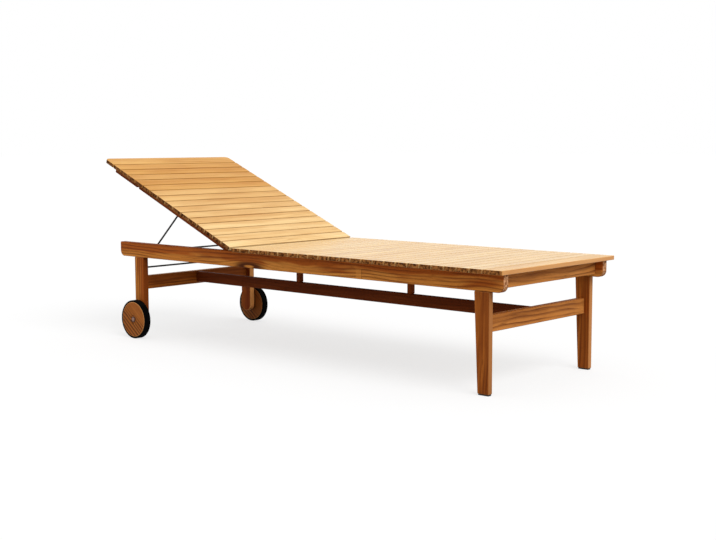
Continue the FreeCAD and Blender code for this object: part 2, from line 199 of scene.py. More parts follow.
def makePiece(name, surfaces, material, body, nodes,
              tones=None, knot=None, pith=None, endMaterial=None):
    # Joins the surfaces into one mesh. Every surface gets its own tone and its own place in the log
    # it was sawn from: grain is the place in the log, knot the place seen from the board's knot.
    counts = [len(surface["points"]) for surface in surfaces]
    starts = np.concatenate([[0], np.cumsum(counts)[:-1]]).tolist()
    faces = [[index + start for index in face]
             for surface, start in zip(surfaces, starts) for face in surface["faces"]]
    mesh = bpy.data.meshes.new(name)
    mesh.from_pydata(np.concatenate([surface["points"] for surface in surfaces]), [], faces)
    sawnFrom = dice.uniform(logLook["low"], logLook["high"], (len(surfaces), 3))
    if pith is not None:
        sawnFrom[:, 1:] = pith
    if tones is None:
        tones = dice.uniform(0.0, 1.0, len(surfaces))
    grain = np.concatenate([surface["grain"] for surface in surfaces])
    vectors = {"grain": grain + np.repeat(sawnFrom, counts, 0),
               "knot": grain - np.array(logLook["noKnot"] if knot is None else knot)}
    values = {key: np.concatenate([surface[key] for surface in surfaces])
              for key in ("heart", "rim", "endGrain")}
    values["tone"] = np.repeat(tones, counts)
    for key, data in vectors.items():
        stored = mesh.attributes.new(key, "FLOAT_VECTOR", "POINT")
        stored.data.foreach_set("vector", data.astype(np.float32).ravel())
    for key, data in values.items():
        stored = mesh.attributes.new(key, "FLOAT", "POINT")
        stored.data.foreach_set("value", data.astype(np.float32))
    mesh.shade_smooth()
    mesh.materials.append(material)
    if endMaterial is not None:
        mesh.materials.append(endMaterial)
        isEnd = np.concatenate([surface["isEnd"] for surface in surfaces])
        mesh.polygons.foreach_set("material_index", isEnd.astype(np.int32))
    piece = bpy.data.objects.new(name, mesh)
    bpy.context.scene.collection.objects.link(piece)
    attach(piece, body)
    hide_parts(*nodes)
    return piece


# materials

def addNode(tree, kind, inputs=None, **settings):
    # An input that is a socket is linked, any other is set.
    made = tree.nodes.new(kind)
    for key, value in settings.items():
        setattr(made, key, value)
    for key, value in (inputs or {}).items():
        if isinstance(value, bpy.types.NodeSocket):
            tree.links.new(value, made.inputs[key])
        else:
            made.inputs[key].default_value = value
    return made


def newMaterial(name):
    # Only a shader and its output.
    material = bpy.data.materials.new(name)
    material.use_nodes = True
    tree = material.node_tree
    tree.nodes.clear()
    shader = addNode(tree, "ShaderNodeBsdfPrincipled")
    addNode(tree, "ShaderNodeOutputMaterial", {"Surface": shader.outputs["BSDF"]})
    return material, tree, shader


def finishShader(tree, shader, look, colour, gloss, height, depth):
    # Colour, roughness and relief vary over the surface; the specular level is one number.
    relief = addNode(tree, "ShaderNodeBump",
                     {"Height": height, "Strength": look["relief"], "Distance": depth})
    tree.links.new(colour, shader.inputs["Base Color"])
    tree.links.new(gloss, shader.inputs["Roughness"])
    tree.links.new(relief.outputs["Normal"], shader.inputs["Normal"])
    shader.inputs["Specular IOR Level"].default_value = look["shine"]


def fromMesh(tree, key, output="Fac"):
    # A value kept on the mesh's points.
    return addNode(tree, "ShaderNodeAttribute", attribute_name=key).outputs[output]


def scaled(tree, vector, amounts):
    # A vector times one amount for each axis.
    return addNode(tree, "ShaderNodeVectorMath", {0: vector, 1: amounts}, operation="MULTIPLY").outputs[0]


def noise(tree, vector, scale=1.0, detail=2.0, roughness=0.5):
    # A cloudy value between nought and one.
    made = addNode(tree, "ShaderNodeTexNoise",
                   {"Vector": vector, "Scale": scale, "Detail": detail, "Roughness": roughness})
    return made.outputs["Fac"]


def between(tree, value, span, start=0.0, end=1.0):
    # An S-curve from start to end while the value crosses the span.
    made = addNode(tree, "ShaderNodeMapRange",
                   {"Value": value, "From Min": span[0], "From Max": span[1], "To Min": start, "To Max": end},
                   interpolation_type="SMOOTHSTEP")
    return made.outputs["Result"]


def mixed(tree, share, first, second, way="MIX"):
    # The first colour at a share of nought, the second at one; their sockets are numbers 6 and 7.
    made = addNode(tree, "ShaderNodeMix", {"Factor": share, 6: first, 7: second},
                   data_type="RGBA", blend_type=way, clamp_factor=True)
    return made.outputs[2]


def reckoned(tree, operation, first, second):
    # Two numbers made one.
    return addNode(tree, "ShaderNodeMath", {0: first, 1: second}, operation=operation).outputs[0]


def times(tree, first, second):
    return reckoned(tree, "MULTIPLY", first, second)


def plus(tree, first, second):
    return reckoned(tree, "ADD", first, second)


# how teak grows: each pattern's stretch along and across the grain, and the span of it that shows
teakFigure = {
    "drift": (1.0, 5.0, 5.0), "driftScale": 2.2,
    "rings": (0.06, 1.0, 1.0), "ringBend": 2.2, "ringBendScale": 1.6, "ringSpan": (0.35, 1.0),
    "seasons": (5.0, 13.0, 13.0), "seasonSpan": (0.36, 0.62),
    "streaks": (3.0, 260.0, 260.0), "streakSpan": (0.52, 0.78),
    "pores": (28.0, 1500.0, 1500.0), "poreSpan": (0.6, 0.72),
    "patches": (2.2, 16.0, 16.0), "patchSpan": (0.3, 0.7),
    "reach": (4.0, 30.0, 30.0), "reachSpan": (0.2, 0.8), "reachHalf": 0.35, "heartSpan": (0.3, 0.62),
    "mottle": (40.0, 95.0, 95.0), "mottleSpan": (0.38, 0.62), "endSpan": (0.55, 0.95),
    "glossSpan": (0.3, 0.8), "glossMore": 0.14, "reliefDepth": 0.0008}
# a knot, longer along the grain: metres from its middle
knotFigure = {"stretch": (0.22, 1.0, 0.5), "pushSpan": (0.0, 0.035), "push": -0.02,
              "eyeInner": (0.003, 0.007), "eyeOuter": (0.009, 0.022)}
# the joint of a long rail's two lengths: metres from its knot, on the lower part of the rail
railJoint = {"at": 0.5455, "soft": 0.001, "block": 0.025, "blockDepth": 0.5, "line": 0.001,
             "lineDepth": 0.75, "lowerSpan": (0.5, 0.64)}


def jointBand(tree, along, start, end, depth):
    # Rises to depth just before the start and falls to nought just after the end.
    soft = railJoint["soft"]
    rising = between(tree, along, (start - soft, start), 0.0, depth)
    return times(tree, rising, between(tree, along, (end, end + soft), 1.0, 0.0))


def teak(name, look, fromObject=False):
    # Growth rings cut by the board's faces, wandering along the grain and pushed aside by a knot,
    # with redder heartwood to one side, fine streaks and short dark pores; sawn ends are mottled.
    # On the rails the darker side is the top, partly painted shade under the slats; the look's rim colour on
    # the sides is painted shade on some looks and painted light on others.
    material, tree, shader = newMaterial(name)
    figure, knot, joint = teakFigure, knotFigure, railJoint
    if fromObject:
        grain = addNode(tree, "ShaderNodeTexCoord").outputs["Object"]
    else:
        grain = fromMesh(tree, "grain", "Vector")
    tone = fromMesh(tree, "tone")
    heart = fromMesh(tree, "heart")
    ends = fromMesh(tree, "endGrain")
    rim = fromMesh(tree, "rim")
    fromKnot = fromMesh(tree, "knot", "Vector")
    knotFar = addNode(tree, "ShaderNodeVectorMath", {0: scaled(tree, fromKnot, knot["stretch"])},
                      operation="LENGTH").outputs["Value"]
    push = addNode(tree, "ShaderNodeCombineXYZ",
                   {"Y": between(tree, knotFar, knot["pushSpan"], knot["push"], 0.0)}).outputs[0]
    drift = addNode(tree, "ShaderNodeTexNoise",
                    {"Vector": scaled(tree, grain, figure["drift"]), "Scale": figure["driftScale"],
                     "Detail": 2.0})
    wander = addNode(tree, "ShaderNodeVectorMath",
                     {0: drift.outputs["Color"], 1: (0.0, look["wander"], look["wander"]), 2: grain},
                     operation="MULTIPLY_ADD").outputs[0]
    wander = addNode(tree, "ShaderNodeVectorMath", {0: wander, 1: push}, operation="ADD").outputs[0]
    rings = addNode(tree, "ShaderNodeTexWave",
                    {"Vector": scaled(tree, wander, figure["rings"]), "Scale": look["rings"],
                     "Distortion": figure["ringBend"], "Detail": 2.0,
                     "Detail Scale": figure["ringBendScale"]},
                    wave_type="RINGS", rings_direction="X", wave_profile="SAW").outputs["Fac"]
    streaks = noise(tree, scaled(tree, wander, figure["streaks"]), look["fine"], detail=3.0, roughness=0.6)
    pores = noise(tree, scaled(tree, wander, figure["pores"]))
    patches = noise(tree, scaled(tree, grain, figure["patches"]))
    body = mixed(tree, between(tree, patches, figure["patchSpan"]), look["pale"], look["mid"])

    # heartwood to one side of the board; on the rails partly painted shade along the top
    reach = noise(tree, scaled(tree, wander, figure["reach"]))
    half = figure["reachHalf"]
    edge = plus(tree, heart, between(tree, reach, figure["reachSpan"], -half, half))
    heartShare = times(tree, between(tree, edge, figure["heartSpan"]), look["heartDepth"])
    body = mixed(tree, heartShare, body, look["heart"])
    alongKnot, acrossKnot, _ = addNode(tree, "ShaderNodeSeparateXYZ", {0: fromKnot}).outputs
    seasons = plus(tree, noise(tree, scaled(tree, grain, figure["seasons"]), detail=1.0),
                   times(tree, acrossKnot, look["ringSide"]))
    ringShare = times(tree, between(tree, rings, figure["ringSpan"]),
                      between(tree, seasons, figure["seasonSpan"], look["ringLeast"], 1.0))
    body = mixed(tree, times(tree, ringShare, look["ringDepth"]), body, look["dark"])
    streakShare = times(tree, between(tree, streaks, figure["streakSpan"]), look["streakDepth"])
    body = mixed(tree, streakShare, body, look["dark"])
    poreShare = times(tree, between(tree, pores, figure["poreSpan"]), look["poreDepth"])
    body = mixed(tree, poreShare, body, look["pore"])

    eye = times(tree, between(tree, knotFar, knot["eyeInner"]),
                between(tree, knotFar, knot["eyeOuter"], 1.0, 0.0))
    body = mixed(tree, eye, body, look["pore"])
    lower = between(tree, heart, joint["lowerSpan"], 1.0, 0.0)
    block = jointBand(tree, alongKnot, joint["at"] - joint["block"], joint["at"] - joint["soft"],
                      joint["blockDepth"])
    line = jointBand(tree, alongKnot, joint["at"], joint["at"] + joint["line"], joint["lineDepth"])
    body = mixed(tree, times(tree, block, lower), body, look["pale"])
    body = mixed(tree, times(tree, line, lower), body, look["dark"])
    # the look's rim colour on the board's sides and rounded edges: painted shade on the slats, the rails and
    # the foot board, painted light on the legs' narrow faces
    body = mixed(tree, times(tree, rim, look["rimDepth"]), body, look["rim"])
    body = mixed(tree, 1.0, body, mixed(tree, tone, look["toneLow"], look["toneHigh"]), "MULTIPLY")

    mottle = noise(tree, scaled(tree, grain, figure["mottle"]), detail=3.0, roughness=0.7)
    cut = mixed(tree, between(tree, mottle, figure["mottleSpan"]), look["cutDark"], look["cutPale"])
    body = mixed(tree, between(tree, ends, figure["endSpan"]), body, cut)
    gloss = between(tree, streaks, figure["glossSpan"], look["rough"], look["rough"] + figure["glossMore"])
    finishShader(tree, shader, look, body, gloss, streaks, figure["reliefDepth"])
    return material


speckFigure = {"span": (0.35, 0.7), "broadSpan": (0.4, 0.75), "broadDepth": 0.5, "rimSpan": (0.45, 0.7),
               "glossSpan": (0.3, 0.7), "glossLess": 0.08, "glossMore": 0.1, "reliefDepth": 0.0005}


def speckled(name, look):
    # A worked surface on Object coordinates: fine grain in the colour, the gloss and the relief,
    # and a second colour towards the rim of a turned piece.
    material, tree, shader = newMaterial(name)
    figure = speckFigure
    place = addNode(tree, "ShaderNodeTexCoord").outputs["Object"]
    heart = fromMesh(tree, "heart")
    fine = noise(tree, scaled(tree, place, look["stretch"]), look["grainScale"], detail=4.0, roughness=0.6)
    broad = noise(tree, place, look["broadScale"])
    colour = mixed(tree, between(tree, fine, figure["span"]), look["low"], look["high"])
    wornShare = between(tree, broad, figure["broadSpan"], 0.0, figure["broadDepth"])
    colour = mixed(tree, wornShare, colour, look["worn"])
    rimShare = between(tree, heart, figure["rimSpan"], 0.0, look["rimDepth"])
    colour = mixed(tree, rimShare, colour, look["worn"])
    gloss = between(tree, fine, figure["glossSpan"], look["rough"] - figure["glossLess"],
                    look["rough"] + figure["glossMore"])
    finishShader(tree, shader, look, colour, gloss, fine, figure["reliefDepth"])
    shader.inputs["Metallic"].default_value = look["metal"]
    return material


# the rim colour darkens the slats' sides and rounded edges, on the seat and the back: painted shade in the
# gaps between slats
slatColours = {
    "pale": (0.95, 0.685, 0.305, 1), "mid": (0.86, 0.58, 0.235, 1), "dark": (0.47, 0.21, 0.058, 1),
    "heart": (0.68, 0.39, 0.14, 1), "pore": (0.22, 0.085, 0.022, 1), "rim": (0.22, 0.085, 0.022, 1),
    "cutDark": (0.08, 0.023, 0.005, 1), "cutPale": (0.46, 0.18, 0.048, 1),
    "toneLow": (0.84, 0.62, 0.33, 1), "toneHigh": white,
    "wander": 0.03, "rings": 34.0, "ringLeast": 0.2, "ringSide": 0.0, "ringDepth": 0.35, "streakDepth": 0.5,
    "poreDepth": 0.1, "heartDepth": 0.3, "rimDepth": 0.5, "relief": 0.03, "fine": 0.55}
slatTeak = teak("slatTeak", dict(slatColours, rough=0.26, shine=0.5))
slatEndTeak = teak("slatEndTeak", dict(slatColours, rough=0.7, shine=0.03))
backColours = dict(
    slatColours, pale=(0.95, 0.72, 0.37, 1), mid=(0.82, 0.555, 0.245, 1), cutDark=(0.05, 0.014, 0.003, 1),
    cutPale=(0.34, 0.135, 0.04, 1), toneLow=(0.75, 0.54, 0.285, 1), streakDepth=0.75, ringDepth=0.5,
    rimDepth=0.3)
backTeak = teak("backTeak", dict(backColours, rough=0.5, shine=0.15))
backEndTeak = teak("backEndTeak", dict(backColours, rough=0.7, shine=0.03))
# the foot board's front face and sides take a darker golden rim colour than its top: painted shade
footTeak = teak("footTeak", dict(
    slatColours, rim=(0.62, 0.24, 0.062, 1), rimDepth=0.62, rough=0.3, shine=0.3))

# what the boards of the frame share, where a look says nothing else
frameColours = {"toneLow": (0.74, 0.68, 0.62, 1), "toneHigh": white, "ringLeast": 0.3, "ringSide": 0.0,
                "poreDepth": 0.4, "relief": 0.12, "fine": 1.0, "rough": 0.50}
# the rails' heart colour darkens their upper part, partly heartwood and partly painted shade under the slats'
# overhang; their dark rim colour on the top face and edges is painted shade under the slat ends
railColours = dict(
    frameColours, pale=(0.86, 0.345, 0.066, 1), mid=(0.70, 0.245, 0.038, 1), dark=(0.16, 0.03, 0.004, 1),
    heart=(0.46, 0.10, 0.009, 1), pore=(0.10, 0.022, 0.003, 1), rim=(0.22, 0.045, 0.006, 1),
    cutDark=(0.22, 0.07, 0.018, 1), cutPale=(0.68, 0.35, 0.17, 1),
    wander=0.05, rings=22.0, ringDepth=0.75, streakDepth=0.9, heartDepth=0.9, rimDepth=0.65, shine=0.07)
railTeak = teak("railTeak", railColours)
# the left head leg: its dark body colours are painted shade on the broad face, and its bright rim colour is
# painted light on the narrow faces
paintedLightAndShadeTeak = teak("paintedLightAndShadeTeak", dict(
    railColours, pale=(0.42, 0.10, 0.012, 1), mid=(0.32, 0.066, 0.007, 1), heart=(0.26, 0.045, 0.004, 1),
    rim=(0.95, 0.42, 0.125, 1), rimDepth=0.88))
# the light rim colour on the legs' narrow faces is painted light
legTeak = teak("legTeak", dict(
    frameColours, pale=(0.66, 0.205, 0.031, 1), mid=(0.52, 0.145, 0.019, 1), dark=(0.14, 0.026, 0.003, 1),
    heart=(0.31, 0.07, 0.008, 1), pore=(0.08, 0.016, 0.002, 1), rim=(0.66, 0.33, 0.12, 1),
    cutDark=(0.16, 0.045, 0.008, 1), cutPale=(0.42, 0.16, 0.045, 1),
    wander=0.04, rings=24.0, ringDepth=0.75, streakDepth=0.9, heartDepth=0.7, rimDepth=0.5,
    fine=0.8, shine=0.08))
crossTeak = teak("crossTeak", dict(
    frameColours, pale=(0.78, 0.325, 0.079, 1), mid=(0.63, 0.235, 0.047, 1), dark=(0.16, 0.038, 0.006, 1),
    heart=(0.36, 0.115, 0.02, 1), pore=(0.09, 0.022, 0.003, 1), rim=(0.30, 0.085, 0.012, 1),
    cutDark=(0.16, 0.05, 0.01, 1), cutPale=(0.44, 0.18, 0.05, 1),
    wander=0.05, rings=20.0, ringDepth=0.8, streakDepth=1.0, poreDepth=0.5, heartDepth=0.5, rimDepth=0.5,
    fine=0.8, shine=0.08))
# darker teak for the pieces in the shade under the deck and under the back slats: painted shade
paintedShadeTeak = teak("paintedShadeTeak", dict(
    frameColours, pale=(0.33, 0.075, 0.012, 1), mid=(0.24, 0.048, 0.007, 1), dark=(0.10, 0.017, 0.002, 1),
    heart=(0.19, 0.036, 0.005, 1), pore=(0.05, 0.009, 0.0015, 1), rim=(0.10, 0.017, 0.002, 1),
    cutDark=(0.11, 0.025, 0.004, 1), cutPale=(0.27, 0.085, 0.02, 1), toneLow=(0.62, 0.56, 0.5, 1),
    wander=0.045, rings=26.0, ringDepth=0.45, streakDepth=0.6, heartDepth=0.5, rimDepth=0.2,
    rough=0.55, shine=0.06))
wheelTeak = teak("wheelTeak", dict(
    frameColours, pale=(0.53, 0.175, 0.031, 1), mid=(0.415, 0.124, 0.019, 1), dark=(0.065, 0.017, 0.003, 1),
    heart=(0.40, 0.12, 0.025, 1), pore=(0.06, 0.016, 0.003, 1), rim=(0.72, 0.34, 0.12, 1),
    cutDark=(0.12, 0.04, 0.01, 1), cutPale=(0.36, 0.16, 0.05, 1), toneLow=(0.66, 0.64, 0.62, 1),
    wander=0.010, rings=34.0, ringLeast=0.1, ringSide=-5.0, ringDepth=1.0, streakDepth=0.6, heartDepth=0.3,
    rimDepth=0.7, shine=0.08))
rackTeak = teak("rackTeak", dict(
    frameColours, pale=(0.42, 0.125, 0.02, 1), mid=(0.33, 0.09, 0.013, 1), dark=(0.14, 0.03, 0.004, 1),
    heart=(0.28, 0.07, 0.009, 1), pore=(0.08, 0.016, 0.002, 1), rim=(0.10, 0.02, 0.003, 1),
    cutDark=(0.12, 0.04, 0.01, 1), cutPale=(0.3, 0.12, 0.035, 1), toneLow=white,
    wander=0.03, rings=28.0, ringLeast=0.5, ringDepth=0.4, streakDepth=0.6, heartDepth=0.4, rimDepth=0.0,
    shine=0.12), fromObject=True)

# what the plain finishes share, where a look says nothing else
plainFinish = {"stretch": (1.0, 1.0, 1.0), "metal": 0.0, "rimDepth": 0.0}
darkWire = speckled("darkWire", dict(
    plainFinish, low=(0.006, 0.006, 0.007, 1), high=(0.013, 0.012, 0.013, 1), worn=(0.026, 0.024, 0.023, 1),
    grainScale=900.0, broadScale=14.0, rough=0.42, relief=0.15, shine=0.3))
axleSteel = speckled("axleSteel", dict(
    plainFinish, low=(0.30, 0.17, 0.135, 1), high=(0.44, 0.28, 0.235, 1), worn=(0.10, 0.038, 0.024, 1),
    stretch=(1.0, 0.15, 1.0), grainScale=1400.0, broadScale=60.0, rough=0.45, relief=0.2,
    metal=0.25, shine=0.25, rimDepth=0.9))
tyreRubber = speckled("tyreRubber", dict(
    plainFinish, low=(0.0015, 0.0013, 0.0013, 1), high=(0.004, 0.0035, 0.0035, 1),
    worn=(0.007, 0.0062, 0.006, 1), grainScale=700.0, broadScale=22.0, rough=0.8, relief=0.35, shine=0.015))
bushPlastic = speckled("bushPlastic", dict(
    plainFinish, low=(0.010, 0.009, 0.009, 1), high=(0.020, 0.018, 0.017, 1), worn=(0.035, 0.032, 0.030, 1),
    grainScale=1100.0, broadScale=40.0, rough=0.6, relief=0.2, shine=0.2))
print("materials: %d" % len(bpy.data.materials))


# the deck and the frame

def boxOf(node):
    # A node's least and greatest corner.
    low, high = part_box(node)
    return np.array(low), np.array(high)


def levelBoard(node, grainAxis, edge, radius=0.0):
    # A straight board that fills its node's box, seen along its shortest side.
    low, high = boxOf(node)
    size = high - low
    thin = int(np.argmin(size))
    first, second = [axis for axis in range(3) if axis != thin]
    corners = rectangle(np.zeros(3), size, first, second)
    axes = np.eye(3)[[first, second, thin]]
    turn = 0.0 if first == grainAxis else quarterTurn
    return plateBoard(corners, radius, size[thin], edge, low, axes, turn)


slatLook = {"edge": 0.0012, "endRadius": 0.0012, "tones": (0.6, 1.0)}
seatNodes = sorted(name for name in frame["nodes"] if name.startswith("seat_slat"))
seatBoards = [levelBoard(name, crossways, slatLook["edge"], slatLook["endRadius"]) for name in seatNodes]
seatTones = dice.uniform(*slatLook["tones"], len(seatNodes))
makePiece("seatSlats", seatBoards, slatTeak, "frame", seatNodes, seatTones,
          endMaterial=slatEndTeak)


boardLook = {"edge": 0.0016, "footRadius": 0.005, "topRadius": 0.018, "arcSteps": 9,
             "footTone": 0.45, "topTone": 0.1}


def endBoard(low, high, outerEnd, radius, axes, shift):
    # A board across the deck with two corners rounded in plan: outerEnd is +1 or -1 along X.
    inner, outer = (low[0], high[0]) if outerEnd > 0 else (high[0], low[0])
    corners = [(inner, low[1]), (outer, low[1]), (outer, high[1]), (inner, high[1])]
    if outerEnd < 0:
        corners = corners[::-1]
    return plateBoard(corners, [0.0, radius, radius, 0.0], high[2] - low[2], boardLook["edge"],
                      shift + low[2] * axes[2], axes, quarterTurn, boardLook["arcSteps"])


footBoard = endBoard(*boxOf("foot_board"), 1, boardLook["footRadius"], np.eye(3), np.zeros(3))
makePiece("footBoard", [footBoard], footTeak, "frame", ["foot_board"],
          [boardLook["footTone"]], endMaterial=slatEndTeak)


frameLook = {"edge": 0.0026, "arcSteps": 14, "railEndRadius": 0.022, "railTone": 0.8, "legTaper": 0.015,
             "knots": {"right": (-0.15, 0.3275, 0.0), "left": (0.52, 0.352, 0.025)},
             # the far (left) foot leg is paler and the near one darker, to match how each is lit: painted
             # light and shade
             "footLegTones": {"right": 0.15, "left": 1.0},
             # the left head leg's finish paints shade on its broad face and light on its narrow faces
             "headLegs": {"right": (railTeak, 0.4), "left": (paintedLightAndShadeTeak, 1.0)},
             "crossPith": (0.13, 0.03)}


def uprightBoard(node, radii, grainTurn=0.0, taper=0.0, arcSteps=plainSteps):
    # An outline in X and Z that fills its node's box, carried over its thickness in Y. The taper
    # moves the lower corner towards the head in.
    low, high = boxOf(node)
    corners = rectangle(low, high, lengthways, upright)
    corners[0] = (low[0] + taper, low[2])
    return plateBoard(corners, radii, high[1] - low[1], frameLook["edge"], low[1] * yAxis,
                      [xAxis, zAxis, yAxis], grainTurn, arcSteps)


def railBoard(side):
    # Both lower corners are rounded.
    radius = frameLook["railEndRadius"]
    return uprightBoard("side_rail_" + side, [radius, radius, 0.0, 0.0], arcSteps=frameLook["arcSteps"])


def footLegBoard(side):
    # Narrower at the ground than under the rail.
    return uprightBoard("foot_leg_" + side, 0.0, -quarterTurn, frameLook["legTaper"])


def headLegBoard(side):
    # The lower end is a half circle.
    low, high = boxOf("head_leg_" + side)
    half = (high[0] - low[0]) / 2 - flatStrip
    return uprightBoard("head_leg_" + side, [half, half, 0.0, 0.0], -quarterTurn,
                        arcSteps=frameLook["arcSteps"])


for side in ("left", "right"):
    name = side.capitalize()
    makePiece("sideRail" + name, [railBoard(side)], railTeak, "frame", ["side_rail_" + side],
              [frameLook["railTone"]], knot=frameLook["knots"][side])
    makePiece("footLeg" + name, [footLegBoard(side)], legTeak, "frame", ["foot_leg_" + side],
              [frameLook["footLegTones"][side]])
    material, tone = frameLook["headLegs"][side]
    makePiece("headLeg" + name, [headLegBoard(side)], material, "frame", ["head_leg_" + side],
              [tone])

straightBoards = {  # node, axis of the grain, finish and tone
    "footStretcher": ("foot_cross_stretcher", crossways, crossTeak, 0.35),
    "footApron": ("foot_apron", crossways, crossTeak, 1.0),
    "headStretcher": ("head_cross_stretcher", crossways, legTeak, 0.8),
    "hingeCrossRail": ("hinge_cross_rail", crossways, legTeak, 0.6),
    "centreStretcher": ("centre_stretcher", lengthways, paintedShadeTeak, 0.0),
    "centreBearer": ("centre_bearer", lengthways, paintedShadeTeak, 0.6),
    "footPost": ("stretcher_post_foot", upright, paintedShadeTeak, 1.0),
    "headPost": ("stretcher_post_head", upright, paintedShadeTeak, 0.6)}
for name, (node, grainAxis, material, tone) in straightBoards.items():
    makePiece(name, [levelBoard(node, grainAxis, frameLook["edge"])], material, "frame",
              [node], [tone], pith=frameLook["crossPith"])
print("seat and frame boards done")


# the back, worked out lying flat and lifted to its angle about the hinge

hinge = np.array(joints["back_tilt"]["pos_m"], float)
recline = math.radians(-joints["back_tilt"]["range_deg"][0])
backAxes = np.array([[math.cos(recline), 0.0, -math.sin(recline)], yAxis,
                     [math.sin(recline), 0.0, math.cos(recline)]])


def flatPoints(node):
    # A node's corner points with the back laid flat, measured from the hinge.
    mesh = frame["nodes"][node].data
    points = np.empty(len(mesh.vertices) * 3, np.float32)
    mesh.vertices.foreach_get("co", points)
    return (points.reshape(-1, 3) - hinge) @ backAxes.T


def flatBox(node):
    # The box of those points.
    points = flatPoints(node)
    return points.min(0), points.max(0)


backLook = {"slatCount": 15, "lowTone": 1.0, "highTone": 0.1, "toneFall": 2, "toneSpread": 0.14,
            "railTone": 1.0}
slatCount = backLook["slatCount"]
slatLow, slatHigh = flatBox("back_slats")
topLow, topHigh = flatBox("back_top_board")
slatPitch = (topHigh[0] - slatHigh[0]) / slatCount
slatWide = slatHigh[0] - slatLow[0] - abs(slatPitch) * (slatCount - 1)


def backSlat(number):
    # A slat moved up the back from the lowest one by its number of pitches.
    end = slatHigh[0] + slatPitch * number
    corners = rectangle((end - slatWide, slatLow[1]), (end, slatHigh[1]), lengthways, crossways)
    return plateBoard(corners, slatLook["endRadius"], slatHigh[2] - slatLow[2], slatLook["edge"],
                      hinge + slatLow[2] * backAxes[2], backAxes, quarterTurn)


# the lower slats are paler: the tone falls from the hinge to the top, with some chance
backTones = np.linspace(backLook["lowTone"], backLook["highTone"], slatCount) ** backLook["toneFall"]
backTones = backTones + dice.uniform(-backLook["toneSpread"], backLook["toneSpread"], slatCount)
makePiece("backSlats", [backSlat(number) for number in range(slatCount)], backTeak, "backrest",
          ["back_slats"], backTones, endMaterial=backEndTeak)
topBoard = endBoard(topLow, topHigh, -1, boardLook["topRadius"], backAxes, hinge)
makePiece("topBoard", [topBoard], backTeak, "backrest", ["back_top_board"],
          [boardLook["topTone"]], endMaterial=backEndTeak)

nestLook = {"hingeSide": -0.1, "height": -0.017, "half": 0.005}  # where the nest's points are looked for


def backRailBoard(side):
    # Half-round at the hinge, with a nest in the underside for the prop's bar.
    low, high = flatBox("back_rail_" + side)
    nose = (high[2] - low[2]) / 2 - flatStrip
    points = flatPoints("back_rail_" + side)
    atHeight = abs(points[:, 2] - nestLook["height"]) < nestLook["half"]
    inNest = atHeight & (points[:, 0] < nestLook["hingeSide"])
    nestLow, nestHigh = points[inNest].min(0), points[inNest].max(0)
    corners = [(low[0], low[2]), (nestLow[0], low[2]), (nestLow[0], nestHigh[2]), (nestHigh[0], nestHigh[2]),
               (nestHigh[0], low[2]), (high[0], low[2]), (high[0], high[2]), (low[0], high[2])]
    hollow = (nestHigh[0] - nestLow[0]) / 2 - flatStrip
    radii = [0.0, 0.0, hollow, hollow, 0.0, nose, nose, 0.0]
    return plateBoard(corners, radii, high[1] - low[1], frameLook["edge"], hinge + low[1] * yAxis,
                      [backAxes[0], backAxes[2], yAxis], 0.0, frameLook["arcSteps"])


for side in ("left", "right"):
    makePiece("backRail" + side.capitalize(), [backRailBoard(side)], paintedShadeTeak, "backrest",
              ["back_rail_" + side], [backLook["railTone"]])
battenLow, battenHigh = flatBox("back_centre_batten")
battenCorners = rectangle(battenLow, battenHigh, lengthways, crossways)
backBatten = plateBoard(battenCorners, 0.0, battenHigh[2] - battenLow[2], frameLook["edge"],
                        hinge + battenLow[2] * backAxes[2], backAxes)
makePiece("backBatten", [backBatten], paintedShadeTeak, "backrest", ["back_centre_batten"])
print("back done: %d slats of %.1f mm" % (slatCount, mm * slatWide))


# the wire prop and the tie rod between the head legs

wireLook = {"bendRadius": 0.009, "bendSteps": 12, "pinSteps": 8, "armSteps": 30, "rodSteps": 40}
barLow, barHigh = boxOf("prop_crossbar")
wireRadius = (barHigh[0] - barLow[0]) / 2
barCentre = (barLow + barHigh) / 2
propPivot = np.array(joints["prop_swing"]["pos_m"], float)


def straightRod(low, high):
    # From one side of the lounger to the other through the middle of its box.
    middle = (low + high) / 2
    ends = [middle * (1 - yAxis) + y * yAxis for y in (low[1] + wireRadius, high[1] - wireRadius)]
    return wireTube(np.linspace(*ends, wireLook["rodSteps"]), wireRadius, xAxis)


def propArm(side, sign):
    # From the pin in the back rail, round a quarter circle, and down to the bar.
    low, high = boxOf("prop_arm_" + side)
    armY = sign * (min(abs(low[1]), abs(high[1])) + wireRadius)
    tipY = sign * (max(abs(low[1]), abs(high[1])) - wireRadius)
    down = barCentre - propPivot
    length = np.linalg.norm(down)
    down = down / length
    bend = wireLook["bendRadius"]
    a = np.linspace(0, quarterTurn, wireLook["bendSteps"])[:, None]
    turn = (propPivot + armY * yAxis + bend * (down + sign * yAxis)
            - bend * (np.cos(a) * down + np.sin(a) * sign * yAxis))
    pin = np.linspace(propPivot + tipY * yAxis, turn[0], wireLook["pinSteps"])
    arm = np.linspace(turn[-1], propPivot + armY * yAxis + length * down, wireLook["armSteps"])
    return wireTube(np.concatenate([pin[:-1], turn, arm[1:]]), wireRadius, np.cross(yAxis, down))


makePiece("propBar", [straightRod(barLow, barHigh)], darkWire, "prop", ["prop_crossbar"])
for side, sign in (("left", 1), ("right", -1)):
    makePiece("propArm" + side.capitalize(), [propArm(side, sign)], darkWire, "prop",
              ["prop_arm_" + side])
makePiece("tieRod", [straightRod(*boxOf("leg_tie_rod"))], darkWire, "frame", ["leg_tie_rod"])
print("wires done: %.1f mm" % (2 * mm * wireRadius))


# wheels

